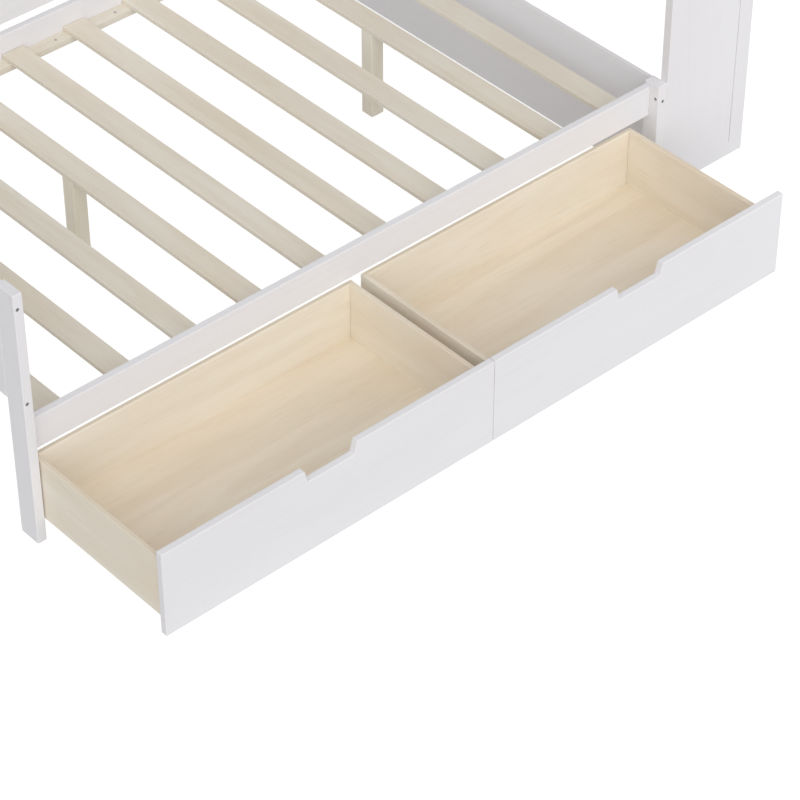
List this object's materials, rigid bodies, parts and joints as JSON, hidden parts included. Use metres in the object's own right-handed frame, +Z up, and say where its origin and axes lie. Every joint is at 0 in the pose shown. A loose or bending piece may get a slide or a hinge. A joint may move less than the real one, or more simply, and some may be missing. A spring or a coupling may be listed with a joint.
{
  "type": "wooden bed frame",
  "caption": "Low wooden bed frame with a slatted base, foot panel, back guard board, bookcase headboard and rolling drawers that pull out from under one side.",
  "frame": {"origin": "on the floor, in the middle of the footprint with the drawers out as they rest", "axes": "+Z up; +X along the bed from the foot panel to the headboard; +Y from the drawer side to the guard board"},
  "size_m": [2.221, 1.727, 1.15],
  "materials": {
    "white_paint": "white satin paint over fine wood grain",
    "plain_wood": "sanded plain pine",
    "drawer_wood": "sanded plain light wood",
    "dark_steel": "dark zinc",
    "zinc_steel": "zinc plated",
    "caster_wheel": "moulded"
  },
  "bodies": {
    "frame": {"back_guard": "white_paint", "centre_leg_left": "plain_wood", "centre_leg_right": "plain_wood", "foot_panel": "white_paint", "foot_panel_bolts": "dark_steel", "foot_post_back": "white_paint", "foot_post_front": "white_paint", "head_panel": "white_paint", "head_post_back": "white_paint", "head_post_bolts": "dark_steel", "head_post_front": "white_paint", "headboard_back": "white_paint", "headboard_divider_low": "white_paint", "headboard_divider_top": "white_paint", "headboard_shelf_low": "white_paint", "headboard_shelf_mid": "white_paint", "headboard_shelf_top": "white_paint", "headboard_side_back": "white_paint", "headboard_side_front": "white_paint", "ledger_screws": "dark_steel", "rail_dowels": "plain_wood", "side_rail_back": "white_paint", "side_rail_front": "white_paint", "slat_01": "plain_wood", "slat_02": "plain_wood", "slat_03": "plain_wood", "slat_04": "plain_wood", "slat_05": "plain_wood", "slat_06": "plain_wood", "slat_07": "plain_wood", "slat_08": "plain_wood", "slat_09": "plain_wood", "slat_10": "plain_wood", "slat_ledger_back": "plain_wood", "slat_ledger_front": "plain_wood"},
    "drawer_left": {"drawer_left_back": "drawer_wood", "drawer_left_bottom": "drawer_wood", "drawer_left_casters": "zinc_steel", "drawer_left_front": "white_paint", "drawer_left_side_left": "drawer_wood", "drawer_left_side_right": "drawer_wood"},
    "drawer_right": {"drawer_right_back": "drawer_wood", "drawer_right_bottom": "drawer_wood", "drawer_right_casters": "zinc_steel", "drawer_right_front": "white_paint", "drawer_right_side_left": "drawer_wood", "drawer_right_side_right": "drawer_wood"},
    "wheel_left_back_left_body": {"wheel_left_back_left": "caster_wheel"},
    "wheel_left_back_right_body": {"wheel_left_back_right": "caster_wheel"},
    "wheel_left_front_left_body": {"wheel_left_front_left": "caster_wheel"},
    "wheel_left_front_right_body": {"wheel_left_front_right": "caster_wheel"},
    "wheel_right_back_left_body": {"wheel_right_back_left": "caster_wheel"},
    "wheel_right_back_right_body": {"wheel_right_back_right": "caster_wheel"},
    "wheel_right_front_left_body": {"wheel_right_front_left": "caster_wheel"},
    "wheel_right_front_right_body": {"wheel_right_front_right": "caster_wheel"}
  },
  "joints": [
    {"name": "drawer_left_slide", "type": "slide", "parent": "frame", "child": "drawer_left", "axis": [0, -1, 0], "range_m": [-0.4285, 0.1]},
    {"name": "drawer_right_slide", "type": "slide", "parent": "frame", "child": "drawer_right", "axis": [0, -1, 0], "range_m": [-0.4285, 0.1]},
    {"name": "wheel_left_front_left_spin", "type": "hinge", "parent": "drawer_left", "child": "wheel_left_front_left_body", "pos_m": [-1.0085, -0.7855, 0.022], "axis": [1, 0, 0], "continuous": true},
    {"name": "wheel_left_front_right_spin", "type": "hinge", "parent": "drawer_left", "child": "wheel_left_front_right_body", "pos_m": [-0.2495, -0.7855, 0.022], "axis": [1, 0, 0], "continuous": true},
    {"name": "wheel_left_back_left_spin", "type": "hinge", "parent": "drawer_left", "child": "wheel_left_back_left_body", "pos_m": [-1.0085, -0.4705, 0.022], "axis": [1, 0, 0], "continuous": true},
    {"name": "wheel_left_back_right_spin", "type": "hinge", "parent": "drawer_left", "child": "wheel_left_back_right_body", "pos_m": [-0.2495, -0.4705, 0.022], "axis": [1, 0, 0], "continuous": true},
    {"name": "wheel_right_front_left_spin", "type": "hinge", "parent": "drawer_right", "child": "wheel_right_front_left_body", "pos_m": [-0.0695, -0.7855, 0.022], "axis": [1, 0, 0], "continuous": true},
    {"name": "wheel_right_front_right_spin", "type": "hinge", "parent": "drawer_right", "child": "wheel_right_front_right_body", "pos_m": [0.6545, -0.7855, 0.022], "axis": [1, 0, 0], "continuous": true},
    {"name": "wheel_right_back_left_spin", "type": "hinge", "parent": "drawer_right", "child": "wheel_right_back_left_body", "pos_m": [-0.0695, -0.4705, 0.022], "axis": [1, 0, 0], "continuous": true},
    {"name": "wheel_right_back_right_spin", "type": "hinge", "parent": "drawer_right", "child": "wheel_right_back_right_body", "pos_m": [0.6545, -0.4705, 0.022], "axis": [1, 0, 0], "continuous": true}
  ],
  "couplings": [
    {"joint": "wheel_left_front_left_spin", "follows": "drawer_left_slide", "rad_per_m": 45.455},
    {"joint": "wheel_left_front_right_spin", "follows": "drawer_left_slide", "rad_per_m": 45.455},
    {"joint": "wheel_left_back_left_spin", "follows": "drawer_left_slide", "rad_per_m": 45.455},
    {"joint": "wheel_left_back_right_spin", "follows": "drawer_left_slide", "rad_per_m": 45.455},
    {"joint": "wheel_right_front_left_spin", "follows": "drawer_right_slide", "rad_per_m": 45.455},
    {"joint": "wheel_right_front_right_spin", "follows": "drawer_right_slide", "rad_per_m": 45.455},
    {"joint": "wheel_right_back_left_spin", "follows": "drawer_right_slide", "rad_per_m": 45.455},
    {"joint": "wheel_right_back_right_spin", "follows": "drawer_right_slide", "rad_per_m": 45.455}
  ]
}
